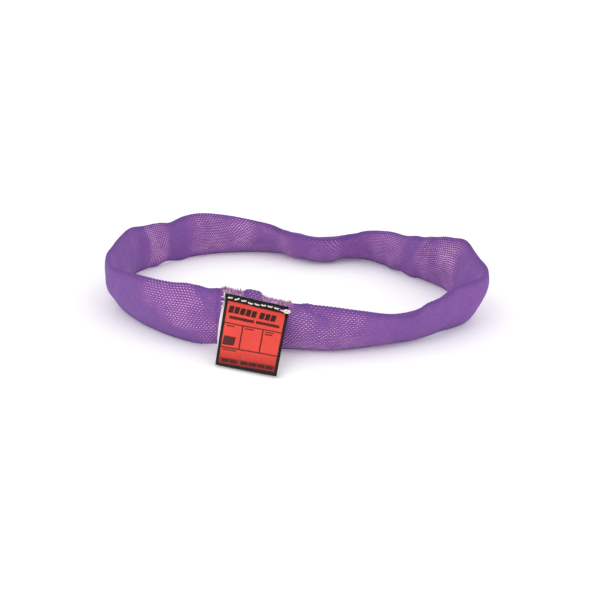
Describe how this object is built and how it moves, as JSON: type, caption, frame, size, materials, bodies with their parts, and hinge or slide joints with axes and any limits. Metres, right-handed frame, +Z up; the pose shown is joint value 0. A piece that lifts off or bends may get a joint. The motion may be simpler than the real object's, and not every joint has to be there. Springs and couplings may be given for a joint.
{
  "type": "round sling",
  "caption": "Endless soft round sling: a woven polyester tube filled with wound yarn, standing as a loose loop, with a sewn tag that swings.",
  "frame": {"origin": "on the floor, under the middle of the whole object's box, tag included", "axes": "+Z up from the floor that the loop stands on; +X along the loop's long way, to the right seen from the tag; -Y towards the tag's side"},
  "size_m": [0.3267, 0.3134, 0.0522],
  "materials": {
    "jacket_weave": "coarse purple polyester weave, plain where it hangs loose and speckled pale where it is stretched",
    "inner_weave": "dull white polyester weave",
    "core_yarn": "bundled white polyester filament, slightly silky",
    "core_tape": "cream adhesive tape",
    "tag_face": "red coated label with black ruled lines and a black border, satin",
    "tag_backing": "white coated label back, satin",
    "thread": "thick white twisted sewing thread"
  },
  "bodies": {
    "sling": {"outer_jacket": "jacket_weave", "inner_jacket": "inner_weave", "core_yarn_1": "core_yarn", "core_yarn_2": "core_yarn", "core_yarn_3": "core_yarn", "core_yarn_4": "core_yarn", "core_tape_1": "core_tape", "core_tape_2": "core_tape", "core_tape_3": "core_tape", "core_tape_4": "core_tape", "tag_header": "tag_face", "tag_needle_thread": "thread", "tag_bobbin_thread": "thread"},
    "tag": {"tag_leaf": "tag_face", "tag_backing": "tag_backing"}
  },
  "joints": [
    {"name": "tag_swing", "type": "hinge", "parent": "sling", "child": "tag", "pos_m": [-0.02675, -0.10536, 0.03678], "axis": [-0.9778, 0.0953, 0.1869], "range_deg": [0, 65]}
  ]
}
